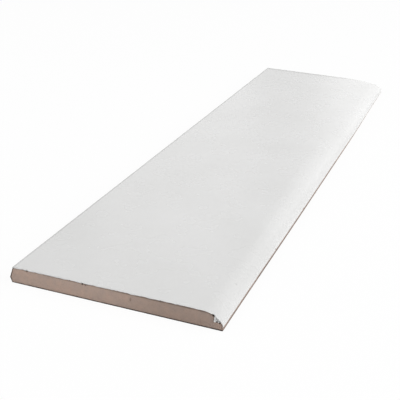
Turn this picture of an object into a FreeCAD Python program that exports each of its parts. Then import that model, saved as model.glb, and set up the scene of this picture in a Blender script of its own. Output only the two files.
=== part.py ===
"""Bullnose wall tile: one pressed and fired piece with a rolled long edge.

The frame is in millimetres. The tile lies on its back: +X points to the rolled edge,
+Y runs along the length and +Z points out of the glazed face. The origin is the
centre of the underside.
"""
import math
import os

import FreeCAD
import Part
import Sketcher
from FreeCAD import Vector

# Driving dimensions: alias, value, meaning
SIZES = (
    ("tile_length", 400.0, "mm, along the rolled edge"),
    ("tile_width", 100.0, "mm, overall, from the plain side's waist to the lip"),
    ("tile_thickness", 8.0, "mm, back to glazed face"),
    ("roll_width", 9.5, "mm, from the lip in to where the roll leaves the face"),
    ("nose_radius", 3.8, "mm, radius of the roll's lower part, where it meets the lip"),
    ("lip_height", 1.2, "mm, height of the square lip below the roll"),
    ("foot_radius", 0.6, "mm, rounding under the lip"),
    ("arris_radius", 0.5, "mm, rounding between the face and the plain side"),
    ("side_draft", 1.5, "mm, how far the plain side leans out from the face to its waist"),
    ("waist_height", 2.4, "mm, height of the plain side's widest line"),
    ("side_bevel", 1.0, "mm, how far the plain side runs back in below its waist"),
    ("key_depth", 0.6, "mm, depth of the keying troughs in the back"),
    ("key_width", 8.0, "mm, width of a trough along the length"),
    ("key_pitch", 12.0, "mm, spacing of the troughs along the length"),
    ("key_draft", 30.0, "degrees, slope of the trough walls"),
    ("key_border", 9.0, "mm, least plain margin round the troughs"),
)

# As many troughs as fit between the margins
TROUGH_COUNT = "floor((sizes.tile_length - 2 * sizes.key_border - sizes.key_width) / sizes.key_pitch + 1)"

# Allowed difference between the volume cut from the back and the troughs' own volume
VOLUME_TOLERANCE = 0.001


def driving_sheet(doc):
    """Write the driving dimensions to a sheet, one row each, with an alias on the value."""
    sheet = doc.addObject("Spreadsheet::Sheet", "sizes")
    for row, (alias, value, meaning) in enumerate(SIZES, start=1):
        sheet.set(f"A{row}", alias)
        sheet.set(f"B{row}", str(value))
        sheet.set(f"C{row}", meaning)
        sheet.setAlias(f"B{row}", alias)
    doc.recompute()
    return sheet


def origin_feature(body, role):
    """The plane or axis of a body's own origin that has this role."""
    return next(item for item in body.Origin.OriginFeatures if item.Role == role)


def plane_sketch(body, name, role):
    """An empty sketch on one of the body's origin planes."""
    sketch = body.newObject("Sketcher::SketchObject", name)
    sketch.AttachmentSupport = (origin_feature(body, role), [""])
    sketch.MapMode = "FlatFace"
    return sketch


def dimension(sketch, kind, where, value, name, expression):
    """Add a named dimension to a sketch and tie it to the sheet."""
    sketch.addConstraint(Sketcher.Constraint(kind, *where, value))
    sketch.renameConstraint(sketch.ConstraintCount - 1, name)
    sketch.setExpression("Constraints." + name, expression)


def arc_geometry(centre, radius, start, end):
    """An anticlockwise arc given by angles in radians."""
    circle = Part.Circle(Vector(*centre, 0), Vector(0, 0, 1), radius)
    return Part.ArcOfCircle(circle, start, end)


def section_sketch(body, sheet):
    """The tile's cross-section: back, lip, rolled edge, face, plain side and lower bevel."""
    sketch = plane_sketch(body, "cross_section", "XZ_Plane")
    half = sheet.tile_width / 2
    top = sheet.tile_thickness
    foot = sheet.foot_radius
    lip = sheet.lip_height
    nose = sheet.nose_radius
    roll_width = sheet.roll_width
    arris = sheet.arris_radius
    waist = sheet.waist_height

    # The roll's upper arc touches the face and the nose arc, which gives its radius and where they meet
    roll_height = top - lip
    roll = ((roll_width - nose) ** 2 + roll_height**2 - nose**2) / (2 * (roll_height - nose))
    meeting_angle = math.atan2(roll - roll_height, roll_width - nose)

    # Starting outline, anticlockwise from the left end of the back
    quarter = math.pi / 2
    roll_start = half - roll_width
    side_top = sheet.side_draft - half
    line = Part.LineSegment
    back, foot_arc, lip_line, nose_arc, roll_arc, face, arris_arc, side, bevel = sketch.addGeometry(
        [
            line(Vector(sheet.side_bevel - half, 0, 0), Vector(half - foot, 0, 0)),
            arc_geometry((half - foot, foot), foot, -quarter, 0),
            line(Vector(half, foot, 0), Vector(half, lip, 0)),
            arc_geometry((half - nose, lip), nose, 0, meeting_angle),
            arc_geometry((roll_start, top - roll), roll, meeting_angle, quarter),
            line(Vector(roll_start, top, 0), Vector(side_top + arris, top, 0)),
            arc_geometry((side_top + arris, top - arris), arris, quarter, 2 * quarter),
            line(Vector(side_top, top - arris, 0), Vector(-half, waist, 0)),
            line(Vector(-half, waist, 0), Vector(sheet.side_bevel - half, 0, 0)),
        ]
    )

    # Smooth joints round the lip, the roll and the arris, square corners elsewhere
    start, end, centre = 1, 2, 3
    origin = (-1, 1)
    for joint in (
        ("Tangent", back, end, foot_arc, start),
        ("Tangent", foot_arc, end, lip_line, start),
        ("Tangent", lip_line, end, nose_arc, start),
        ("Tangent", nose_arc, end, roll_arc, start),
        ("Tangent", roll_arc, end, face, start),
        ("Tangent", face, end, arris_arc, start),
        ("Tangent", arris_arc, end, side, start),
        ("Coincident", side, end, bevel, start),
        ("Coincident", bevel, end, back, start),
        ("Horizontal", back),
        ("Vertical", lip_line),
        ("Horizontal", face),
        ("PointOnObject", back, start, -1),
    ):
        sketch.addConstraint(Sketcher.Constraint(*joint))

    waist_point = (side, end)
    lip_top = (lip_line, end)
    bevel_foot = (bevel, end)
    dimension(sketch, "Radius", (foot_arc,), foot, "foot", "sizes.foot_radius")
    dimension(sketch, "Radius", (nose_arc,), nose, "nose", "sizes.nose_radius")
    dimension(sketch, "Radius", (arris_arc,), arris, "arris", "sizes.arris_radius")
    dimension(sketch, "DistanceX", (*waist_point, *origin), half, "waist_reach", "sizes.tile_width / 2")
    dimension(sketch, "DistanceX", (*origin, *lip_top), half, "lip_reach", "sizes.tile_width / 2")
    dimension(sketch, "DistanceX", (face, start, *lip_top), roll_width, "roll", "sizes.roll_width")
    dimension(sketch, "DistanceY", (*origin, face, start), top, "thickness", "sizes.tile_thickness")
    dimension(sketch, "DistanceY", (*origin, *lip_top), lip, "lip", "sizes.lip_height")
    dimension(sketch, "DistanceY", (*origin, *waist_point), waist, "waist", "sizes.waist_height")
    dimension(sketch, "DistanceX", (*waist_point, *bevel_foot), sheet.side_bevel, "bevel", "sizes.side_bevel")
    dimension(
        sketch, "DistanceX", (*waist_point, arris_arc, centre), sheet.side_draft + arris,
        "draft", "sizes.side_draft + sizes.arris_radius",
    )
    return sketch


def tile_pad(body, section):
    """The section pressed along the whole length, half to each side of the origin."""
    pad = body.newObject("PartDesign::Pad", "pressed_length")
    pad.Profile = section
    pad.SideType = "Symmetric"
    pad.setExpression("Length", "sizes.tile_length")
    return pad


def trough_pocket(body, sheet):
    """The first keying trough, cut into the back beside the -Y margin."""
    sketch = plane_sketch(body, "trough_outline", "XY_Plane")
    reach = sheet.tile_width / 2 - sheet.key_border
    low = -sheet.tile_length / 2 + sheet.key_border
    high = low + sheet.key_width
    corners = [Vector(x, y, 0) for x, y in ((-reach, low), (reach, low), (reach, high), (-reach, high))]
    near, right, far, left = sketch.addGeometry(
        [Part.LineSegment(corners[i], corners[(i + 1) % 4]) for i in range(4)]
    )
    start, end = 1, 2
    origin = (-1, 1)
    for first, second in ((near, right), (right, far), (far, left), (left, near)):
        sketch.addConstraint(Sketcher.Constraint("Coincident", first, end, second, start))
    for level in (near, far):
        sketch.addConstraint(Sketcher.Constraint("Horizontal", level))
    for upright in (right, left):
        sketch.addConstraint(Sketcher.Constraint("Vertical", upright))
    dimension(
        sketch, "DistanceX", (*origin, right, start), reach,
        "right_reach", "sizes.tile_width / 2 - sizes.key_border",
    )
    dimension(
        sketch, "DistanceX", (left, start, *origin), reach,
        "left_reach", "sizes.tile_width / 2 - sizes.key_border",
    )
    dimension(sketch, "DistanceY", (near, end, far, start), sheet.key_width, "trough", "sizes.key_width")
    dimension(
        sketch, "DistanceY", (far, start, *origin), -high, "first_trough",
        f"({TROUGH_COUNT} - 1) / 2 * sizes.key_pitch - sizes.key_width / 2",
    )
    pocket = body.newObject("PartDesign::Pocket", "keying_trough")
    pocket.Profile = sketch
    pocket.Reversed = True
    pocket.setExpression("Length", "sizes.key_depth")
    pocket.setExpression("TaperAngle", "-sizes.key_draft")
    return pocket


def trough_pattern(body, pocket):
    """Repeat the trough at its pitch up to the +Y margin."""
    pattern = body.newObject("PartDesign::LinearPattern", "keying_troughs")
    pattern.Originals = [pocket]
    pattern.Direction = (origin_feature(body, "Y_Axis"), [""])
    pattern.Mode = "Spacing"
    pattern.setExpression("Offset", "sizes.key_pitch")
    pattern.setExpression("Occurrences", TROUGH_COUNT)
    body.Tip = pattern
    return pattern


def bullnose_tile(doc, sheet):
    """The whole tile as one body."""
    body = doc.addObject("PartDesign::Body", "bullnose_tile")
    body.Label = "bullnose_tile"
    section = section_sketch(body, sheet)
    doc.recompute()
    pad = tile_pad(body, section)
    doc.recompute()
    pressed_volume = pad.Shape.Volume
    pocket = trough_pocket(body, sheet)
    doc.recompute()
    trough_volume = pressed_volume - pocket.Shape.Volume
    pattern = trough_pattern(body, pocket)
    doc.recompute()
    cut_volume = pressed_volume - body.Shape.Volume
    expected_volume = trough_volume * pattern.Occurrences
    print("troughs", pattern.Occurrences, "cut", round(cut_volume, 1), "expected", round(expected_volume, 1))
    if trough_volume <= 0 or not math.isclose(cut_volume, expected_volume, rel_tol=VOLUME_TOLERANCE):
        raise RuntimeError("the keying troughs aren't all cut")
    return body


def check_document(doc, bodies):
    """Stop if any object failed or any body isn't one valid solid."""
    for item in doc.Objects:
        if "Invalid" in item.State or "Error" in item.State:
            raise RuntimeError(f"{item.Name} failed: {item.State}")
    for body in bodies:
        if body.Shape.isNull() or not body.Shape.isValid() or len(body.Shape.Solids) != 1:
            raise RuntimeError(f"{body.Label} isn't one valid solid")


def main():
    doc = FreeCAD.newDocument("bullnose_tile_model")
    sheet = driving_sheet(doc)
    bodies = [bullnose_tile(doc, sheet)]
    check_document(doc, bodies)
    os.makedirs("parts", exist_ok=True)
    for body in bodies:
        body.Shape.exportStep(f"parts/{body.Label}.step")
        box = body.Shape.BoundBox
        print(body.Label, "box", box, "volume", round(body.Shape.Volume, 1))


main()
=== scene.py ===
"""Looks of a bullnose wall tile: a fired clay body with a satin white glaze on its face and roll.

Lengths are in metres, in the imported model's frame: +X points to the rolled edge, +Y runs along the
length and +Z points out of the glazed face. Sizes are written in millimetres and multiplied by MM.
"""
import math

import bmesh
import bpy
from mathutils import Matrix, Vector, noise


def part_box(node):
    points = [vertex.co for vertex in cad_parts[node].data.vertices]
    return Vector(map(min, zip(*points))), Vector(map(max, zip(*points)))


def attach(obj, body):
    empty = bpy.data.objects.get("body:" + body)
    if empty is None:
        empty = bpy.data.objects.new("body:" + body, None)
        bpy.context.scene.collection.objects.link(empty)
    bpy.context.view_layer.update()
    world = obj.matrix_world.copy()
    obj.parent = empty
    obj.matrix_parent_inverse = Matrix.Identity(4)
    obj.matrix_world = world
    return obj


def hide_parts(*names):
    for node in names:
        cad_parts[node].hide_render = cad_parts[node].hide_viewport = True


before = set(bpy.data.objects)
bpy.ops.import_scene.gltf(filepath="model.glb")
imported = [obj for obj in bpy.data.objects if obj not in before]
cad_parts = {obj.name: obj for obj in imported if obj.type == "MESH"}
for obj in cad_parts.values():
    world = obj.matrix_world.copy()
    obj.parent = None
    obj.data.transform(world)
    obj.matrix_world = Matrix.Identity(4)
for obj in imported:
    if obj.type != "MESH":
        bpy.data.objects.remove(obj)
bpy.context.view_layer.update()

MM = 0.001
NODE = "bullnose_tile"

# Slack for telling whether a point lies on a plane
SLACK = 0.001 * MM

# Overall size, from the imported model
box_low, box_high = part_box(NODE)
HALF_WIDTH = (box_high[0] - box_low[0]) / 2
HALF_LENGTH = (box_high[1] - box_low[1]) / 2
THICKNESS = box_high[2] - box_low[2]

# Section of the pressed tile
ROLL_WIDTH = 9.5 * MM
NOSE_RADIUS = 3.8 * MM
LIP_HEIGHT = 1.2 * MM
FOOT_RADIUS = 0.6 * MM
ARRIS_RADIUS = 0.5 * MM
SIDE_DRAFT = 1.5 * MM
WAIST_HEIGHT = 2.4 * MM
SIDE_BEVEL = 1.0 * MM
SIDE_LEAN = math.atan2(SIDE_DRAFT, THICKNESS - ARRIS_RADIUS - WAIST_HEIGHT)
ROLL_START = HALF_WIDTH - ROLL_WIDTH
NOSE_X = HALF_WIDTH - NOSE_RADIUS


def roll_radius(height, nose):
    """Radius of the roll's upper arc, which touches the face and a nose arc of this radius."""
    run = NOSE_X - ROLL_START
    return (run**2 + height**2 - nose**2) / (2 * (height - nose))


ROLL_RADIUS = roll_radius(THICKNESS - LIP_HEIGHT, NOSE_RADIUS)
ROLL_MEETING = math.atan2(ROLL_RADIUS - THICKNESS + LIP_HEIGHT, NOSE_X - ROLL_START)
ARRIS_X = -HALF_WIDTH + SIDE_DRAFT + ARRIS_RADIUS

# Straight steps in each round stretch of the section
NOSE_STEPS = 10
ROLL_STEPS = 16
ARRIS_STEPS = 6
FOOT_STEPS = 5

# Distance of points across the flat face, in the clay and in the glaze
CLAY_STEP = 3.0 * MM
COAT_STEP = 1.0 * MM

# Edges that bend by more than this stay crisp
SHARP_ANGLE = math.radians(35)

# Keying troughs in the back, and how far down a face of the back points at least
KEY_COUNT = 32
KEY_PITCH = 12.0 * MM
KEY_WIDTH = 8.0 * MM
KEY_BORDER = 9.0 * MM
KEY_REACH = HALF_WIDTH - KEY_BORDER
KEY_DEPTH = 0.6 * MM
KEY_SLOPE = math.radians(30)
FACING_DOWN = -0.99

# Glaze coat: thickness, wrap down the plain side, rounding of the rims, and overhang at the ends
COAT = 0.3 * MM
COAT_WRAP = 0.8 * MM
COAT_ROUND = 0.1 * MM
COAT_OVERHANG = 0.3 * MM
COAT_NEAR = -HALF_LENGTH
CLAY_NEAR = -HALF_LENGTH + COAT_OVERHANG

# Place of the glaze among the body's materials
GLAZE_INDEX = 1

# Above the lip the coat thins out: by what share, up to what height, and down to what depth points move
HEM_THINNING = 0.7
HEM_THIN_TOP = 4.5 * MM
HEM_THIN_DEPTH = 1.5 * COAT

# Bare lip below the glaze: its top, and how far it stands back from the glaze
LIP_TOP = 1.8 * MM
LIP_SETBACK = 0.06 * MM

# How far the glaze's edge draws back at the ends, how far in that reaches, and its noises
END_WANDER = 0.1 * MM
END_REACH = 0.5 * MM
END_BIAS = 0.6
END_COARSE = 2.2 * MM
END_FINE = 0.8 * MM
END_FINE_SHARE = 0.6

# How far the glaze drips at the ends, left, right and at least, how unevenly, and from what depth in it
DRIP_LEFT = 0.27 * MM
DRIP_RIGHT = -0.1 * MM
DRIP_LEAST = -COAT / 2
DRIP_WANDER = 0.22 * MM
DRIP_COARSE = 2.6 * MM
DRIP_FINE = 1.0 * MM
DRIP_FROM_DEPTH = 0.6 * COAT

# How far the hem wanders above the lip and on the plain side, over which length, and up to where
HEM_WANDER = 0.25 * MM
HEM_WAVE = 9.0 * MM
HEM_FADE = 2.5
SIDE_HEM_BAND = 0.5 * MM

# How far the hem above the lip sinks at the far end, over which height, and where along that starts
HEM_SINK = 1.1 * MM
HEM_SINK_BAND = 2.0 * MM
HEM_SINK_FROM = -20.0 * MM

# The glaze thins where the face eases into the roll: by how much, and from, most at and to which x
SOFT_DROP = 0.2 * MM
SOFT_FROM = 36.0 * MM
SOFT_MOST = 43.0 * MM
SOFT_TO = 49.0 * MM

# The roll's shoulder widens and flattens towards the far end: by how much, and over which x, y and z
EASE_DEPTH = 1.4 * MM
EASE_X = (22.0 * MM, 43.0 * MM)
EASE_Y = (90.0 * MM, HALF_LENGTH)
EASE_Z = (2.5 * MM, 7.5 * MM)

# The rolled edge draws in at its far end and its lip at the near end: how far, how high and from where
DRAW_FAR = 1.0 * MM
DRAW_NEAR = 0.35 * MM
DRAW_NEAR_TOP = 4.0 * MM
DRAW_FROM = 60.0 * MM

# Nicks in the glaze at the near end: place across the width, half width and depth
NICKS = (
    (-41.2 * MM, 0.5 * MM, 0.4 * MM),
    (-43.4 * MM, 0.4 * MM, 0.2 * MM),
    (-20.3 * MM, 0.5 * MM, 0.25 * MM),
    (2.4 * MM, 0.4 * MM, 0.16 * MM),
    (21.8 * MM, 0.5 * MM, 0.22 * MM),
    (45.2 * MM, 0.8 * MM, 0.8 * MM),
)

# Chips in the glaze's hem above the lip: place along the length, half width and height
HEM_CHIPS = (
    (-121.7 * MM, 0.7 * MM, 0.8 * MM),
    (-66.9 * MM, 0.9 * MM, 0.5 * MM),
    (38.0 * MM, 0.8 * MM, 0.35 * MM),
)

# Shares of a nick's or a chip's half width at which the coat has points
MARK_SHARES = (-1.0, -0.5, 0.0, 0.5, 1.0)

# Rows of points along the coat: their distance, and the gaps of the closer ones from each end
ROW_STEP = 4.0 * MM
END_ROWS = (0.15 * MM, 0.4 * MM, 0.8 * MM, 1.5 * MM, 3.0 * MM)

# Dense windows of the near end (x from, x to, z from, z to) and the size of their cells
CORNER_WINDOW = (40.0 * MM, 50.0 * MM, 0.0, 7.8 * MM)
SCRATCH_WINDOW = (7.5 * MM, 8.8 * MM, 3.4 * MM, 6.5 * MM)
NOTCH_WINDOW = (-43.0 * MM, -40.4 * MM, 6.4 * MM, 7.7 * MM)
SPOT_WINDOW = (-15.0 * MM, -12.2 * MM, 6.6 * MM, 7.7 * MM)
CELL = 0.16 * MM

# Pits and a scratch in the near end: x, z, half width, half height and strength, which sets both their
# depth and the painted shade in them
PITS = (
    (45.0 * MM, 6.4 * MM, 0.6 * MM, 0.5 * MM, 1.0),
    (45.45 * MM, 5.95 * MM, 0.4 * MM, 0.3 * MM, 0.9),
    (48.16 * MM, 3.75 * MM, 0.45 * MM, 0.75 * MM, 1.0),
    (46.73 * MM, 3.75 * MM, 0.5 * MM, 0.38 * MM, 0.8),
    (8.15 * MM, 4.9 * MM, 0.24 * MM, 1.4 * MM, 0.28),
    (-41.15 * MM, 7.15 * MM, 0.5 * MM, 0.5 * MM, 1.0),
    (-42.05 * MM, 7.15 * MM, 0.3 * MM, 0.3 * MM, 0.9),
    (-14.3 * MM, 7.1 * MM, 0.5 * MM, 0.45 * MM, 1.0),
    (-12.85 * MM, 7.05 * MM, 0.45 * MM, 0.45 * MM, 1.0),
)

# How deep the strongest pits are, and the share of a pit's reach that is flat
PIT_DEPTH = 0.8 * MM
PIT_FLAT = 0.5

# Run of glaze on the near end beside the roll: how far it stands out across, and where it stops
RUN_PROFILE = (
    (44.9 * MM, 0.0),
    (45.1 * MM, -0.25 * MM),
    (45.25 * MM, -0.25 * MM),
    (45.75 * MM, 0.28 * MM),
    (46.05 * MM, 0.28 * MM),
    (46.5 * MM, 0.0),
    (49.2 * MM, 0.0),
)
RUN_FOOT = (3.0 * MM, 3.8 * MM)
RUN_LEFT = 45.35 * MM
RUN_RIGHT = 49.2 * MM
RUN_LOW = 3.5 * MM

# How deep under the roll's glaze the run rises, and how far and over which length its edge wanders
RUN_RISE = 0.3 * MM
RUN_WANDER = 0.1 * MM
RUN_WAVE = 0.8 * MM

# Shaded groove in the run, under the rim of the roll's glaze: its ends across, its top and foot, its
# depth and how dark the shade painted in it is
GROOVE_LEFT = (46.2 * MM, 46.6 * MM)
GROOVE_RIGHT = (47.6 * MM, 48.2 * MM)
GROOVE_TOP = (0.0, 0.15 * MM)
GROOVE_FOOT = (0.5 * MM, 1.0 * MM)
GROOVE_DEPTH = 0.5 * MM
GROOVE_SHADE = 0.3

# Dark line of painted shade in the clay along the run's left side, where the crevice beside the run
# lies in shadow
CREVICE_X = 45.15 * MM
CREVICE_HALF_WIDTH = 0.35 * MM
CREVICE_Z = 4.3 * MM
CREVICE_HALF_HEIGHT = 2.4 * MM
CREVICE_SHADE = 0.5

# Dark lines of painted shade round the ends: a contact shadow along the foot, shade along the plain
# side and a shadow under the glaze's overhang. Their width, the depths of the one under the glaze, and
# how dark they are
LINE_WIDTH = 0.7 * MM
GLAZE_LINE = (0.55 * MM, 0.9 * MM)
FOOT_SHADE_LEFT = 0.8
FOOT_SHADE_RIGHT = 1.0
SIDE_SHADE = 0.9
GLAZE_LINE_SHADE = 0.5
NOSE_LINE_SHADE = 0.2
NOSE_LINE_X = (NOSE_X + 1.5 * MM, NOSE_X + 2.5 * MM)

# How uneven the dark lines are, and over which length
LINE_UNEVEN = 0.8
LINE_WAVE = 2.5 * MM

# Width of the columns that the ends are cut into, so that the dark lines can vary along them
LINE_COLUMN = 2.0 * MM

# How dark the painted shade on the bare lip is near and far, where along that pales, and by what share
# it fades upwards
LIP_SHADE_NEAR = 0.5
LIP_SHADE_FAR = 0.0
LIP_PALING = (-0.5 * HALF_LENGTH, 0.8 * HALF_LENGTH)
LIP_SHADE_FADE = 0.8

# How grey the thin glaze is above the lip; how dark the arris is, partly grey of thin glaze and partly
# painted shade where it turns from the light, darker far off; how dark a band along the far end is; and
# in how wide a band
HEM_STAIN = 0.1
HEM_BAND = 0.8 * MM
ARRIS_GREY_AND_SHADE_NEAR = 0.25
ARRIS_GREY_AND_SHADE_FAR = 0.5
ARRIS_BAND = 0.9 * MM
FAR_EDGE_DARKNESS = 0.3
FAR_BAND = 4.4 * MM

# Pinhole in the roll's glaze: its place, half width, depth, stain and the size of the cells round it
PINHOLE = (45.35 * MM, -171.2 * MM)
PINHOLE_HALF_WIDTH = 0.8 * MM
PINHOLE_DEPTH = 0.12 * MM
PINHOLE_STAIN = 0.2
PINHOLE_CELL = 0.2 * MM

# How far up a face of the coat's outer skin on the roll points at least
FACING_UP = 0.3


def smooth_step(value, low, high):
    """0 below low, 1 above high and a soft change between."""
    share = min(max((value - low) / (high - low), 0.0), 1.0)
    return share * share * (3.0 - 2.0 * share)


def bell(value, middle, half_width):
    """1 at the middle, falling softly to 0 at the half width on each side."""
    return 1.0 - smooth_step(abs(value - middle), 0.0, half_width)


def between(points, place):
    """A number read off straight lines between (place, number) points, and 0 outside them."""
    for (low, first), (high, second) in zip(points, points[1:]):
        if low <= place <= high:
            return first + (second - first) * (place - low) / (high - low)
    return 0.0


def ease_face(mesh):
    """Thin the glaze into the roll, flatten its far shoulder and draw in the rolled edge's ends."""
    for vert in mesh.verts:
        x, y, z = vert.co
        soft = smooth_step(x, SOFT_FROM, SOFT_MOST) * (1.0 - smooth_step(x, SOFT_MOST, SOFT_TO))
        skin = 1.0 - smooth_step(roll_depth(x, z), 0.0, COAT)
        far = smooth_step(x, *EASE_X) * smooth_step(y, *EASE_Y) * smooth_step(z, *EASE_Z)
        vert.co.z -= SOFT_DROP * soft * skin + EASE_DEPTH * far
        draw = DRAW_FAR if y > 0 else DRAW_NEAR * (1.0 - smooth_step(z, LIP_TOP, DRAW_NEAR_TOP))
        draw *= smooth_step(abs(y), DRAW_FROM, HALF_LENGTH)
        vert.co.x -= draw * smooth_step(x, 0.0, HALF_WIDTH)


def thin_above_lip(mesh):
    """Move what lies under the nose's glaze outwards, so that the coat thins out towards the lip."""
    for vert in mesh.verts:
        x, y, z = vert.co
        depth = roll_depth(x, z)
        if x > NOSE_X and z > LIP_TOP - SLACK and depth < HEM_THIN_DEPTH:
            share = HEM_THINNING * (1.0 - smooth_step(z, LIP_TOP, HEM_THIN_TOP))
            outward = vert.co - Vector((NOSE_X, y, LIP_HEIGHT))
            vert.co += outward.normalized() * depth * share


def line_to(mesh, tip, x, z):
    """Draw a straight stretch of a section from its tip and return the new tip."""
    drawn = bmesh.ops.extrude_vert_indiv(mesh, verts=[tip])["verts"][0]
    drawn.co = (x, tip.co.y, z)
    return drawn


def arc_about(mesh, tip, x, z, turn, steps):
    """Draw a round stretch by spinning the tip anticlockwise about a centre, and return the new tip."""
    centre = (x, tip.co.y, z)
    spun = bmesh.ops.spin(mesh, geom=[tip], cent=centre, axis=(0, -1, 0), angle=turn, steps=steps)
    return spun["geom_last"][0]


def face_places(step, extra=()):
    """Places across the flat face, from the roll to the arris, a step apart and with extra ones."""
    count = round((ROLL_START - ARRIS_X) / step)
    even = [ROLL_START + (ARRIS_X - ROLL_START) * index / count for index in range(1, count)]
    return sorted([*even, *extra], reverse=True)


def hem_x(inset):
    """How far out the nose stands at the top of the bare lip, at a depth below the glaze."""
    return NOSE_X + math.sqrt((NOSE_RADIUS - inset) ** 2 - (LIP_TOP - LIP_HEIGHT) ** 2)


def draw_roll_and_face(mesh, tip, inset, places):
    """Draw the nose, the roll, the face and the arris from the lip up, at a depth below the glaze."""
    height = THICKNESS - LIP_HEIGHT - inset
    radius = roll_radius(height, NOSE_RADIUS - inset)
    meeting = math.atan2(radius - height, NOSE_X - ROLL_START)
    top = THICKNESS - inset
    start = math.atan2(tip.co.z - LIP_HEIGHT, tip.co.x - NOSE_X)
    tip = arc_about(mesh, tip, NOSE_X, LIP_HEIGHT, meeting - start, NOSE_STEPS)
    tip = arc_about(mesh, tip, ROLL_START, top - radius, math.pi / 2 - meeting, ROLL_STEPS)
    for x in [*places, ARRIS_X]:
        tip = line_to(mesh, tip, x, top)
    turn = math.pi / 2 - SIDE_LEAN
    return arc_about(mesh, tip, ARRIS_X, THICKNESS - ARRIS_RADIUS, turn, ARRIS_STEPS)


def draw_step(mesh, tip, along, distance):
    """Draw a straight stretch in a direction and return the new tip."""
    goal = tip.co + along * distance
    return line_to(mesh, tip, goal.x, goal.z)


# Directions down the plain side and out of it
DOWN_SIDE = Vector((-math.sin(SIDE_LEAN), 0, -math.cos(SIDE_LEAN)))
OUT_OF_SIDE = Vector((-math.cos(SIDE_LEAN), 0, math.sin(SIDE_LEAN)))

# The plain side's widest line, and the direction out of the bevel below it
WAIST = Vector((-HALF_WIDTH, 0, WAIST_HEIGHT))
OUT_OF_BEVEL = Vector((-WAIST_HEIGHT, 0, -SIDE_BEVEL)).normalized()


def grow_along(mesh, edges, places):
    """Extrude a drawn section along +Y through the places and return its last edges."""
    reached = edges[0].verts[0].co.y
    for place in places:
        grown = bmesh.ops.extrude_edge_only(mesh, edges=edges)["geom"]
        edges = [item for item in grown if isinstance(item, bmesh.types.BMEdge)]
        corners = [item for item in grown if isinstance(item, bmesh.types.BMVert)]
        bmesh.ops.translate(mesh, verts=corners, vec=(0, place - reached, 0))
        reached = place
    return edges


def finish_piece(name, mesh, materials):
    """Turn a bmesh into a piece that rides on the tile, smooth but with its crisp edges kept."""
    data = bpy.data.meshes.new(name)
    mesh.to_mesh(data)
    mesh.free()
    data.shade_smooth()
    data.set_sharp_from_angle(angle=SHARP_ANGLE)
    for material in materials:
        data.materials.append(material)
    piece = bpy.data.objects.new(name, data)
    bpy.context.collection.objects.link(piece)
    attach(piece, "root")
    return piece


def clay_body(clay, glaze):
    """The fired body: the section below the glaze, extruded along the length and keyed at the back."""
    mesh = bmesh.new()
    # Darkness of each point, mostly painted shade: along the ends and the lip, in the pits, the crevice
    # and the groove
    stain_and_shade = mesh.verts.layers.float.new("stain_and_shade")
    lip_x = HALF_WIDTH - LIP_SETBACK
    start = mesh.verts.new((KEY_REACH, CLAY_NEAR, 0))
    tip = line_to(mesh, start, lip_x - FOOT_RADIUS - LINE_WIDTH, 0)
    tip = line_to(mesh, tip, lip_x - FOOT_RADIUS, 0)
    tip = arc_about(mesh, tip, lip_x - FOOT_RADIUS, FOOT_RADIUS, math.pi / 2, FOOT_STEPS)
    tip = line_to(mesh, tip, lip_x, LIP_TOP)
    tip = line_to(mesh, tip, hem_x(COAT), LIP_TOP)
    tip = draw_roll_and_face(mesh, tip, COAT, face_places(CLAY_STEP))
    tip = draw_step(mesh, tip, DOWN_SIDE, COAT_WRAP)
    tip = draw_step(mesh, tip, OUT_OF_SIDE, COAT - LIP_SETBACK)
    for x, z in ((-HALF_WIDTH, WAIST_HEIGHT), (-HALF_WIDTH + SIDE_BEVEL, 0), (-KEY_REACH, 0)):
        tip = line_to(mesh, tip, x, z)
    mesh.edges.new((tip, start))
    thin_above_lip(mesh)

    first_trough = -(KEY_COUNT - 1) / 2 * KEY_PITCH - KEY_WIDTH / 2
    trough_lows = [first_trough + index * KEY_PITCH for index in range(KEY_COUNT)]
    places = [*trough_lows, *(low + KEY_WIDTH for low in trough_lows)]
    places += [CLAY_NEAR + LINE_WIDTH, -CLAY_NEAR - LINE_WIDTH, -CLAY_NEAR]
    near_edges = mesh.edges[:]
    far_edges = grow_along(mesh, near_edges, sorted(places))
    for rim in (near_edges, far_edges):
        bmesh.ops.contextual_create(mesh, geom=rim)
    bmesh.ops.recalc_face_normals(mesh, faces=mesh.faces)

    beds = [face for face in mesh.faces if is_trough_bed(face, trough_lows)]
    wall = KEY_DEPTH * math.tan(KEY_SLOPE)
    bmesh.ops.inset_region(mesh, faces=beds, thickness=wall, depth=-KEY_DEPTH, use_even_offset=True)
    cut_ends(mesh)
    corner = cut_window(mesh, CORNER_WINDOW)
    around_pits = []
    for window in (SCRATCH_WINDOW, NOTCH_WINDOW, SPOT_WINDOW):
        around_pits += cut_window(mesh, window)
    paint_shade_lines(mesh, stain_and_shade)
    glaze_corner(corner)
    press_pits_and_run(corner + around_pits, stain_and_shade)
    ease_face(mesh)
    body = finish_piece("tile_body", mesh, (clay, glaze))
    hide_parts(NODE)


def is_trough_bed(face, trough_lows):
    """True for a face of the back that lies over a trough."""
    middle = face.calc_center_median()
    if face.normal.z > FACING_DOWN or abs(middle.x) > KEY_REACH:
        return False
    return any(low < middle.y < low + KEY_WIDTH for low in trough_lows)


def cut_faces(mesh, faces, point, normal):
    """Cut faces by a plane and return all that they become."""
    edges = list(dict.fromkeys(edge for face in faces for edge in face.edges))
    verts = list(dict.fromkeys(vert for face in faces for vert in face.verts))
    cut = bmesh.ops.bisect_plane(mesh, geom=faces + edges + verts, plane_co=point, plane_no=normal)
    return [item for item in cut["geom"] if isinstance(item, bmesh.types.BMFace)]


def lies_at(face, place):
    """True for a face that lies flat at a place along the length."""
    return all(abs(vert.co.y - place) < SLACK for vert in face.verts)


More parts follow.
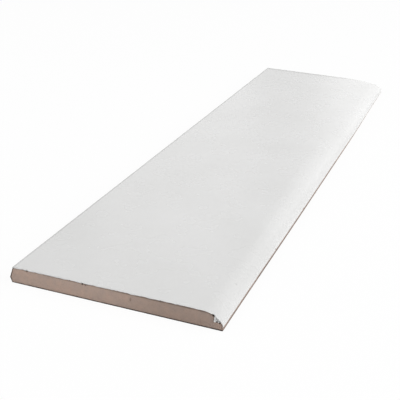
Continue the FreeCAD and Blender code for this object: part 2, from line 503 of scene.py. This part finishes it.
def cut_ends(mesh):
    """Cut both ends into columns, and along the dark lines round them."""
    columns = round(2 * HALF_WIDTH / LINE_COLUMN)
    cuts = [((-HALF_WIDTH + LINE_COLUMN * index, 0, 0), (1, 0, 0)) for index in range(1, columns)]
    cuts += [((0, 0, THICKNESS - COAT - depth), (0, 0, 1)) for depth in GLAZE_LINE]
    for depth in (LINE_WIDTH / 2, LINE_WIDTH):
        cuts += [((0, 0, depth), (0, 0, 1))]
        cuts += [(WAIST - depth * out, out) for out in (OUT_OF_SIDE, OUT_OF_BEVEL)]
    for end in (CLAY_NEAR, -CLAY_NEAR):
        faces = [face for face in mesh.faces if lies_at(face, end)]
        for point, normal in cuts:
            faces = cut_faces(mesh, faces, point, normal)


def paint_shade_lines(mesh, stain_and_shade):
    """Note the dark lines of painted shade: round both ends, and along the lip."""
    lip_from = HALF_WIDTH - LIP_SETBACK - FOOT_RADIUS - SLACK
    for vert in mesh.verts:
        x, y, z = vert.co
        uneven = 1.0 + LINE_UNEVEN * noise.noise(vert.co / LINE_WAVE)
        if abs(y) > -CLAY_NEAR - SLACK:
            vert[stain_and_shade] = min(end_line(x, z) * uneven, 1.0)
        elif x > lip_from and z < LIP_TOP + SLACK:
            # Painted shade on the lip, darkest near its foot and towards the near end
            paling = smooth_step(y, *LIP_PALING)
            darkness = LIP_SHADE_NEAR + (LIP_SHADE_FAR - LIP_SHADE_NEAR) * paling
            fade = 1.0 - LIP_SHADE_FADE * smooth_step(z, FOOT_RADIUS, LIP_TOP)
            vert[stain_and_shade] = uneven * darkness * fade


def end_line(x, z):
    """How dark the painted shade on an end is at a point: most along its foot, its plain side and under
    its glaze.
    """
    on_nose = smooth_step(x, *NOSE_LINE_X)
    under_glaze = GLAZE_LINE_SHADE + (NOSE_LINE_SHADE - GLAZE_LINE_SHADE) * on_nose
    rightward = smooth_step(x, -HALF_WIDTH, HALF_WIDTH)
    foot = FOOT_SHADE_LEFT + (FOOT_SHADE_RIGHT - FOOT_SHADE_LEFT) * rightward
    edge_line = (LINE_WIDTH / 2, LINE_WIDTH)
    lines = (
        (foot, z, edge_line),
        (SIDE_SHADE, side_depth(x, z), edge_line),
        (under_glaze, roll_depth(x, z) - COAT, GLAZE_LINE),
    )
    return max(stain_and_shade * (1.0 - smooth_step(depth, *line)) for stain_and_shade, depth, line in lines)


def side_depth(x, z):
    """How deep a point lies inside the plain side and the bevel below it."""
    inward = WAIST - Vector((x, 0, z))
    return min(inward.dot(OUT_OF_SIDE), inward.dot(OUT_OF_BEVEL))


def roll_depth(x, z):
    """How deep a point lies below the glazed face, roll and lip."""
    if x < ROLL_START:
        return THICKNESS - z
    if z < LIP_HEIGHT:
        return HALF_WIDTH - x
    if math.atan2(z - LIP_HEIGHT, x - NOSE_X) < ROLL_MEETING:
        return NOSE_RADIUS - math.hypot(x - NOSE_X, z - LIP_HEIGHT)
    return ROLL_RADIUS - math.hypot(x - ROLL_START, z - THICKNESS + ROLL_RADIUS)


def near_end_faces(faces, window):
    """Those of the faces that lie on the near end and overlap a window."""
    x_from, x_to, z_from, z_to = window
    found = []
    for face in faces:
        if not lies_at(face, CLAY_NEAR):
            continue
        across = [vert.co.x for vert in face.verts]
        upward = [vert.co.z for vert in face.verts]
        beside = min(across) > x_to - SLACK or max(across) < x_from + SLACK
        above = min(upward) > z_to - SLACK or max(upward) < z_from + SLACK
        if not beside and not above:
            found.append(face)
    return found


def cut_window(mesh, window):
    """Cut the near end into small cells inside a window, and return the cells."""
    x_from, x_to, z_from, z_to = window
    columns = round((x_to - x_from) / CELL)
    rows = round((z_to - z_from) / CELL)
    cuts = [((x, 0, 0), (1, 0, 0)) for x in (x_from, x_to)]
    cuts += [((0, 0, z), (0, 0, 1)) for z in (z_from, z_to)]
    cuts += [((x_from + CELL * index, 0, 0), (1, 0, 0)) for index in range(1, columns)]
    cuts += [((0, 0, z_from + CELL * index), (0, 0, 1)) for index in range(1, rows)]
    cells = near_end_faces(mesh.faces, window)
    for point, normal in cuts:
        cells = near_end_faces(cut_faces(mesh, cells, point, normal), window)
    return cells


def on_run(x, z, wander):
    """True where the run of glaze covers the near end, with its edge moved by a distance."""
    return RUN_LEFT + wander < x < RUN_RIGHT and z > RUN_LOW + wander


def glaze_corner(cells):
    """Give the glaze to the cells that the run of glaze covers."""
    for cell in cells:
        middle = cell.calc_center_median()
        if on_run(middle.x, middle.z, RUN_WANDER * noise.noise(middle / RUN_WAVE)):
            cell.material_index = GLAZE_INDEX


def press_pits_and_run(cells, stain_and_shade):
    """Press pits into the cells, shape the run of glaze, and note the painted shade in the pits, the
    crevice and the groove.
    """
    for vert in dict.fromkeys(vert for cell in cells for vert in cell.verts):
        x, _y, z = vert.co
        pit = 0.0
        # A pit's strength sets how deep it presses in and how much shade is painted in it
        for pit_x, pit_z, half_width, half_height, strength in PITS:
            reach = math.hypot((x - pit_x) / half_width, (z - pit_z) / half_height)
            pit = max(pit, strength * (1.0 - smooth_step(reach, PIT_FLAT, 1.0)))
        # Painted shade along the crevice beside the run's left side
        crevice_shade = CREVICE_SHADE * bell(x, CREVICE_X, CREVICE_HALF_WIDTH) * bell(z, CREVICE_Z, CREVICE_HALF_HEIGHT)
        line = 0.0 if on_run(x, z, 0.0) else vert[stain_and_shade]
        # Painted shade: the darkest of the pits, the crevice, the end's lines and the groove
        vert[stain_and_shade] = max(pit, crevice_shade, line, GROOVE_SHADE * groove(x, z))
        vert.co.y += PIT_DEPTH * pit - run_relief(x, z)


def run_relief(x, z):
    """How far the run of glaze stands out of the near end, less the groove under the roll's rim."""
    under_roll = smooth_step(roll_depth(x, z) - COAT, 0.0, RUN_RISE)
    ridge = under_roll * smooth_step(z, *RUN_FOOT) * between(RUN_PROFILE, x)
    return ridge - GROOVE_DEPTH * groove(x, z)


def groove(x, z):
    """1 in the groove under the rim of the roll's glaze, falling softly to 0 round it."""
    depth = roll_depth(x, z) - COAT
    along = smooth_step(x, *GROOVE_LEFT) * (1.0 - smooth_step(x, *GROOVE_RIGHT))
    return along * smooth_step(depth, *GROOVE_TOP) * (1.0 - smooth_step(depth, *GROOVE_FOOT))


def glaze_coat(glaze):
    """The glaze: a thin skin from the lip over the roll and the face to just below the arris."""
    mesh = bmesh.new()
    # Darkness of each point: grey of thin glaze, and painted shade on the arris
    stain_and_shade = mesh.verts.layers.float.new("stain_and_shade")
    start = mesh.verts.new((hem_x(0.0), COAT_NEAR, LIP_TOP))
    beside_nicks = [x + share * half for x, half, _depth in NICKS for share in MARK_SHARES]
    on_face = [x for x in beside_nicks if ARRIS_X < x < ROLL_START]
    tip = draw_roll_and_face(mesh, start, 0.0, face_places(COAT_STEP, on_face))
    draw_step(mesh, tip, DOWN_SIDE, COAT_WRAP)
    grow_along(mesh, mesh.edges[:], coat_places())
    bmesh.ops.recalc_face_normals(mesh, faces=mesh.faces)
    if sum(face.normal.z for face in mesh.faces) < 0:
        bmesh.ops.reverse_faces(mesh, faces=mesh.faces)
    rim = [edge for edge in mesh.edges if edge.is_boundary]
    bmesh.ops.solidify(mesh, geom=mesh.faces[:], thickness=COAT)
    bmesh.ops.bevel(
        mesh, geom=rim, offset=COAT_ROUND, segments=2, profile=0.5, affect="EDGES", material=-1
    )
    thin_above_lip(mesh)
    darken_glaze_edges(mesh, stain_and_shade)
    press_pinhole(mesh, stain_and_shade)
    for vert in mesh.verts:
        wander_at_end(vert)
        wander_at_hem(vert)
    ease_face(mesh)
    finish_piece("glaze_coat", mesh, (glaze,))


def darken_glaze_edges(mesh, stain_and_shade):
    """Note where the glaze is darker: grey above the lip where it is thin, on the arris partly grey of
    thin glaze and partly painted shade, and in a band along the far end.
    """
    far_edge = -COAT_NEAR - FAR_BAND
    for vert in mesh.verts:
        x, y, z = vert.co
        far = smooth_step(y, far_edge, far_edge + FAR_BAND / 2)
        far *= 1.0 - smooth_step(x, 0.0, ROLL_START)
        along = smooth_step(y, -HALF_LENGTH, HALF_LENGTH)
        arris_grey_and_shade = ARRIS_GREY_AND_SHADE_NEAR + (ARRIS_GREY_AND_SHADE_FAR - ARRIS_GREY_AND_SHADE_NEAR) * along
        arris = 1.0 - smooth_step(x, ARRIS_X + ARRIS_BAND / 2, ARRIS_X + ARRIS_BAND)
        hem = 1.0 - smooth_step(z, LIP_TOP, LIP_TOP + HEM_BAND)
        hem *= 1.0 - smooth_step(y, 0.0, HALF_LENGTH)
        vert[stain_and_shade] = max(FAR_EDGE_DARKNESS * far, arris_grey_and_shade * arris, HEM_STAIN * hem)


def press_pinhole(mesh, stain_and_shade):
    """Press a small pinhole into the coat's outer skin on the roll."""
    place = Vector(PINHOLE)
    reach = PINHOLE_HALF_WIDTH
    faces = [face for face in mesh.faces if face.normal.z > FACING_UP]
    faces = [face for face in faces if near_pinhole(face, place, reach)]
    steps = round(reach / PINHOLE_CELL)
    for index in range(-steps, steps + 1):
        for axis, normal in ((0, (1, 0, 0)), (1, (0, 1, 0))):
            point = [0.0, 0.0, 0.0]
            point[axis] = place[axis] + index * PINHOLE_CELL
            faces = cut_faces(mesh, faces, point, normal)
    for vert in dict.fromkeys(vert for face in faces for vert in face.verts):
        share = bell((vert.co.xy - place).length, 0.0, reach)
        vert[stain_and_shade] = max(vert[stain_and_shade], PINHOLE_STAIN * share)
        vert.co.z -= PINHOLE_DEPTH * share


def near_pinhole(face, place, reach):
    """True for a face that overlaps the square round the pinhole."""
    inside = True
    for axis in (0, 1):
        sides = [vert.co[axis] for vert in face.verts]
        inside = inside and min(sides) < place[axis] + reach and max(sides) > place[axis] - reach
    return inside


def coat_places():
    """Places along the length of the coat's rows of points: dense at the ends and round the chips."""
    count = round(HALF_LENGTH / ROW_STEP)
    places = [index * ROW_STEP for index in range(1 - count, count)]
    places += [COAT_NEAR + gap for gap in END_ROWS]
    places += [-COAT_NEAR - gap for gap in END_ROWS]
    places += [-COAT_NEAR]
    for place, half_width, _height in HEM_CHIPS:
        places += [place + share * half_width for share in MARK_SHARES]
    return sorted(places)


def wander_at_end(vert):
    """Make the glaze's edge at both ends uneven and drip a little, with nicks at the near end."""
    depth = -COAT_NEAR - abs(vert.co.y)
    if depth > END_REACH:
        return
    uneven = END_BIAS + noise.noise(vert.co / END_COARSE)
    uneven += END_FINE_SHARE * noise.noise(vert.co / END_FINE)
    back = END_WANDER * max(uneven, 0.0)
    if vert.co.y < 0:
        for place, half_width, nick in NICKS:
            back += nick * bell(vert.co.x, place, half_width)
    share = 1.0 - smooth_step(depth, 0.0, END_REACH)
    vert.co.y -= math.copysign(back * share, vert.co.y)
    if roll_depth(vert.co.x, vert.co.z) > DRIP_FROM_DEPTH and vert.co.x > ARRIS_X:
        drip = DRIP_LEFT + (DRIP_RIGHT - DRIP_LEFT) * smooth_step(vert.co.x, -HALF_WIDTH, HALF_WIDTH)
        uneven = noise.noise(vert.co / DRIP_COARSE) + noise.noise(vert.co / DRIP_FINE)
        drip += DRIP_WANDER * uneven
        on_face = 1.0 - smooth_step(vert.co.x, ROLL_START, NOSE_X)
        vert.co.z -= max(drip, DRIP_LEAST) * share * on_face


def wander_at_hem(vert):
    """Make the glaze's hem uneven above the lip and on the plain side, and sink it at the far lip."""
    uneven = 0.5 + 0.5 * noise.noise(Vector((vert.co.x, vert.co.y / HEM_WAVE, 0)))
    rise = HEM_WANDER * uneven
    if vert.co.x > NOSE_X:
        for place, half_width, height in HEM_CHIPS:
            rise += height * bell(vert.co.y, place, half_width)
        above = vert.co.z - LIP_TOP
        rise *= 1.0 - smooth_step(above, 0.0, HEM_FADE * rise)
        sink = HEM_SINK * smooth_step(vert.co.y, HEM_SINK_FROM, HALF_LENGTH)
        rise -= sink * (1.0 - smooth_step(above, 0.0, HEM_SINK_BAND))
        turn = Matrix.Rotation(-rise / NOSE_RADIUS, 3, "Y")
        centre = Vector((NOSE_X, vert.co.y, LIP_HEIGHT))
        vert.co = centre + turn @ (vert.co - centre)
    elif vert.co.x < ARRIS_X:
        hem_z = THICKNESS - ARRIS_RADIUS - COAT_WRAP
        share = 1.0 - smooth_step(vert.co.z, hem_z, hem_z + SIDE_HEM_BAND)
        vert.co -= DOWN_SIDE * rise * share


# Tones of the glaze and the clay as (place on the noise, colour), and the colours that their stains and
# painted shade turn to
GLAZE_TONES = ((0.35, (0.690, 0.690, 0.683)), (0.65, (0.715, 0.715, 0.710)))
GLAZE_STAIN_AND_SHADE = (0.05, 0.042, 0.038)
CLAY_TONES = (
    (0.30, (0.443, 0.344, 0.298)),
    (0.52, (0.479, 0.363, 0.303)),
    (0.70, (0.515, 0.376, 0.310)),
)
CLAY_GRAIN = ((0.32, (0.90, 0.90, 0.90)), (0.55, (1.0, 1.0, 1.0)))
CLAY_STAIN_AND_SHADE = (0.035, 0.026, 0.022)

# Painted shade darkens the clay towards the rolled edge: how dark, and from and to which x
CLAY_PAINTED_SHADE = 0.8
CLAY_PAINTED_SHADE_X = (-8.0 * MM, 30.0 * MM)

# Middle range of a noise
NOISE_MIDDLE = (0.3, 0.7)


def node_material(name):
    """A new node material with its tree and its surface shader."""
    material = bpy.data.materials.new(name)
    material.use_nodes = True
    return material, material.node_tree, material.node_tree.nodes["Principled BSDF"]


def object_noise(tree, scale, detail, roughness):
    """Noise in the piece's own coordinates."""
    place = tree.nodes.new("ShaderNodeTexCoord")
    pattern = tree.nodes.new("ShaderNodeTexNoise")
    pattern.inputs["Scale"].default_value = scale
    pattern.inputs["Detail"].default_value = detail
    pattern.inputs["Roughness"].default_value = roughness
    tree.links.new(place.outputs["Object"], pattern.inputs["Vector"])
    return pattern.outputs["Fac"]


def colour_ramp(tree, factor, stops):
    """A colour ramp with the given (position, colour) stops."""
    ramp = tree.nodes.new("ShaderNodeValToRGB")
    elements = ramp.color_ramp.elements
    while len(elements) < len(stops):
        elements.new(0.5)
    for element, (position, colour) in zip(elements, stops):
        element.position = position
        element.color = (*colour, 1.0)
    tree.links.new(factor, ramp.inputs["Fac"])
    return ramp.outputs["Color"]


def number_range(tree, factor, low, high):
    """A noise's middle range turned into a range of numbers."""
    spread = tree.nodes.new("ShaderNodeMapRange")
    spread.inputs["From Min"].default_value = NOISE_MIDDLE[0]
    spread.inputs["From Max"].default_value = NOISE_MIDDLE[1]
    spread.inputs["To Min"].default_value = low
    spread.inputs["To Max"].default_value = high
    tree.links.new(factor, spread.inputs["Value"])
    return spread.outputs["Result"]


def mix_colours(tree, kind, factor, first, second):
    """Two colours mixed in a given way by a number or another node's output."""
    mix = tree.nodes.new("ShaderNodeMix")
    mix.data_type = "RGBA"
    mix.blend_type = kind
    sockets = {socket.identifier: socket for socket in mix.inputs}
    for name, value in (("Factor_Float", factor), ("A_Color", first), ("B_Color", second)):
        if isinstance(value, bpy.types.NodeSocket):
            tree.links.new(value, sockets[name])
        else:
            sockets[name].default_value = value
    return next(socket for socket in mix.outputs if socket.identifier == "Result_Color")


def stained_and_shaded(tree, colour, stain_colour):
    """A colour that turns to the stain and painted shade that the mesh notes."""
    mark = tree.nodes.new("ShaderNodeAttribute")
    mark.attribute_name = "stain_and_shade"
    return mix_colours(tree, "MIX", mark.outputs["Fac"], colour, (*stain_colour, 1.0))


def bump(tree, height, distance, strength):
    """A bump node fed by a height."""
    relief = tree.nodes.new("ShaderNodeBump")
    relief.inputs["Strength"].default_value = strength
    relief.inputs["Distance"].default_value = distance
    tree.links.new(height, relief.inputs["Height"])
    return relief.outputs["Normal"]


def satin_glaze():
    """White satin glaze with a faint unevenness of tone and gloss, a fine orange-peel surface, and the
    grey and painted shade that the mesh notes.
    """
    material, tree, shader = node_material("satin_white_glaze")
    tone = object_noise(tree, scale=28.0, detail=3.0, roughness=0.5)
    colour = colour_ramp(tree, tone, GLAZE_TONES)
    tree.links.new(stained_and_shaded(tree, colour, GLAZE_STAIN_AND_SHADE), shader.inputs["Base Color"])
    gloss = object_noise(tree, scale=90.0, detail=2.0, roughness=0.5)
    tree.links.new(number_range(tree, gloss, low=0.24, high=0.29), shader.inputs["Roughness"])
    shader.inputs["Specular IOR Level"].default_value = 0.5
    peel = object_noise(tree, scale=420.0, detail=2.0, roughness=0.5)
    tree.links.new(bump(tree, peel, distance=0.04 * MM, strength=0.25), shader.inputs["Normal"])
    return material


def painted_shade_to_roll(tree):
    """A grey of painted shade that darkens across the width towards the rolled edge."""
    place = tree.nodes.new("ShaderNodeTexCoord")
    across = tree.nodes.new("ShaderNodeSeparateXYZ")
    shade = tree.nodes.new("ShaderNodeMapRange")
    shade.interpolation_type = "SMOOTHSTEP"
    shade.inputs["From Min"].default_value = CLAY_PAINTED_SHADE_X[0]
    shade.inputs["From Max"].default_value = CLAY_PAINTED_SHADE_X[1]
    shade.inputs["To Min"].default_value = 1.0
    shade.inputs["To Max"].default_value = CLAY_PAINTED_SHADE
    tree.links.new(place.outputs["Object"], across.inputs["Vector"])
    tree.links.new(across.outputs["X"], shade.inputs["Value"])
    return shade.outputs["Result"]


def fired_clay():
    """Pinkish-brown unglazed clay with a cloudy tone, a fine grain, painted shade towards the rolled
    edge, and the stain and painted shade that the mesh notes.
    """
    material, tree, shader = node_material("fired_clay")
    cloud = object_noise(tree, scale=260.0, detail=4.0, roughness=0.55)
    colour = colour_ramp(tree, cloud, CLAY_TONES)
    colour = mix_colours(tree, "MULTIPLY", 1.0, colour, painted_shade_to_roll(tree))
    speck = object_noise(tree, scale=1500.0, detail=3.0, roughness=0.6)
    grain = colour_ramp(tree, speck, CLAY_GRAIN)
    colour = mix_colours(tree, "MULTIPLY", 1.0, colour, grain)
    tree.links.new(stained_and_shaded(tree, colour, CLAY_STAIN_AND_SHADE), shader.inputs["Base Color"])
    shader.inputs["Roughness"].default_value = 0.92
    shader.inputs["Specular IOR Level"].default_value = 0.2
    pores = object_noise(tree, scale=1800.0, detail=4.0, roughness=0.6)
    tree.links.new(bump(tree, pores, distance=0.1 * MM, strength=0.4), shader.inputs["Normal"])
    return material


def seen_rays(tree):
    """1 for rays that show a surface, straight, mirrored or through glass, and 0 for all others."""
    rays = tree.nodes.new("ShaderNodeLightPath")
    seen = rays.outputs["Is Camera Ray"]
    for name in ("Is Glossy Ray", "Is Transmission Ray"):
        either = tree.nodes.new("ShaderNodeMath")
        either.operation = "MAXIMUM"
        tree.links.new(seen, either.inputs[0])
        tree.links.new(rays.outputs[name], either.inputs[1])
        seen = either.outputs["Value"]
    return seen


# Floor: the share of its look that is plain white, its half width, its gap to the tile and its paint
FLOOR_GLOW = 0.94
FLOOR_HALF = 3.0
FLOOR_GAP = 0.05 * MM
FLOOR_PAINT = (0.95, 0.95, 0.95, 1.0)


def floor_paint():
    """White floor: what is seen of it is near white, and it still takes the tile's soft shadow."""
    material = bpy.data.materials.new("white_floor")
    material.use_nodes = True
    tree = material.node_tree
    tree.nodes.clear()
    output = tree.nodes.new("ShaderNodeOutputMaterial")
    paint = tree.nodes.new("ShaderNodeBsdfDiffuse")
    paint.inputs["Color"].default_value = FLOOR_PAINT
    glow = tree.nodes.new("ShaderNodeEmission")
    glow.inputs["Strength"].default_value = 1.0
    share = tree.nodes.new("ShaderNodeMath")
    share.operation = "MULTIPLY"
    share.inputs[1].default_value = FLOOR_GLOW
    blend = tree.nodes.new("ShaderNodeMixShader")
    tree.links.new(seen_rays(tree), share.inputs[0])
    tree.links.new(share.outputs["Value"], blend.inputs["Fac"])
    tree.links.new(paint.outputs["BSDF"], blend.inputs[1])
    tree.links.new(glow.outputs["Emission"], blend.inputs[2])
    tree.links.new(blend.outputs["Shader"], output.inputs["Surface"])
    return material


def floor():
    """A wide pale floor just under the tile."""
    mesh = bmesh.new()
    bmesh.ops.create_grid(mesh, x_segments=1, y_segments=1, size=FLOOR_HALF)
    bmesh.ops.translate(mesh, verts=mesh.verts, vec=(0, 0, -FLOOR_GAP))
    data = bpy.data.meshes.new("floor")
    mesh.to_mesh(data)
    mesh.free()
    data.materials.append(floor_paint())
    plane = bpy.data.objects.new("floor", data)
    bpy.context.collection.objects.link(plane)


# Softboxes: turn from +Y to +X and lift in degrees, distance, width and height in metres, watts
SOFTBOXES = {
    "key_softbox": (80, 38, 1.3, 1.3, 1.1, 16.4),
    "left_softbox": (-125, 30, 1.2, 1.8, 1.4, 11.4),
    "back_panel": (6, 20, 1.3, 0.7, 0.75, 0.93),
    "left_back_panel": (-23.5, 20, 1.3, 0.34, 0.75, 0.25),
}

# Strength and colour of the even surround
SURROUND = 0.2
WHITE = (1.0, 1.0, 1.0, 1.0)


def softbox(name, turn, lift, distance, width, height, power):
    """A rectangular studio lamp round the tile, aimed at its middle."""
    lamp = bpy.data.lights.new(name, "AREA")
    lamp.shape = "RECTANGLE"
    lamp.size = width
    lamp.size_y = height
    lamp.energy = power
    holder = bpy.data.objects.new(name, lamp)
    turn, lift = math.radians(turn), math.radians(lift)
    flat = math.cos(lift)
    holder.location = distance * Vector((math.sin(turn) * flat, math.cos(turn) * flat, math.sin(lift)))
    holder.rotation_euler = (-holder.location).to_track_quat("-Z", "Y").to_euler()
    bpy.context.collection.objects.link(holder)


def studio_light():
    """The softboxes and an even surround, which is white where it is seen."""
    for name, settings in SOFTBOXES.items():
        softbox(name, *settings)
    world = bpy.data.worlds.new("studio")
    bpy.context.scene.world = world
    world.use_nodes = True
    tree = world.node_tree
    surround = tree.nodes["Background"]
    surround.inputs["Color"].default_value = WHITE
    surround.inputs["Strength"].default_value = SURROUND
    backdrop = tree.nodes.new("ShaderNodeBackground")
    backdrop.inputs["Color"].default_value = WHITE
    backdrop.inputs["Strength"].default_value = 1.0
    blend = tree.nodes.new("ShaderNodeMixShader")
    tree.links.new(seen_rays(tree), blend.inputs["Fac"])
    tree.links.new(surround.outputs["Background"], blend.inputs[1])
    tree.links.new(backdrop.outputs["Background"], blend.inputs[2])
    tree.links.new(blend.outputs["Shader"], tree.nodes["World Output"].inputs["Surface"])


# Camera: where it stands, which way it looks, how long its lens is and how close it sees
CAMERA_PLACE = Vector((135.9, -481.1, 182.8)) * MM
CAMERA_AZIMUTH = math.radians(19.37)
CAMERA_ELEVATION = math.radians(23.07)
CAMERA_ROLL = math.radians(2.70)
SENSOR_WIDTH = 36.0
IMAGE_WIDTH = 400
FOCAL_PIXELS = 842.7
CLIP_START = 0.01


def camera():
    """The viewpoint, from beyond the near end and a little to the rolled side."""
    lens = bpy.data.cameras.new("camera")
    lens.sensor_fit = "HORIZONTAL"
    lens.sensor_width = SENSOR_WIDTH
    lens.lens = FOCAL_PIXELS / IMAGE_WIDTH * SENSOR_WIDTH
    lens.clip_start = CLIP_START
    view = bpy.data.objects.new("camera", lens)
    turn = Matrix.Rotation(CAMERA_AZIMUTH, 4, "Z")
    tilt = Matrix.Rotation(math.pi / 2 - CAMERA_ELEVATION, 4, "X")
    roll = Matrix.Rotation(CAMERA_ROLL, 4, "Z")
    view.matrix_world = Matrix.Translation(CAMERA_PLACE) @ turn @ tilt @ roll
    bpy.context.collection.objects.link(view)
    bpy.context.scene.camera = view


white_glaze = satin_glaze()
clay_body(fired_clay(), white_glaze)
glaze_coat(white_glaze)
floor()
studio_light()
camera()
bpy.context.scene.view_settings.view_transform = "Standard"
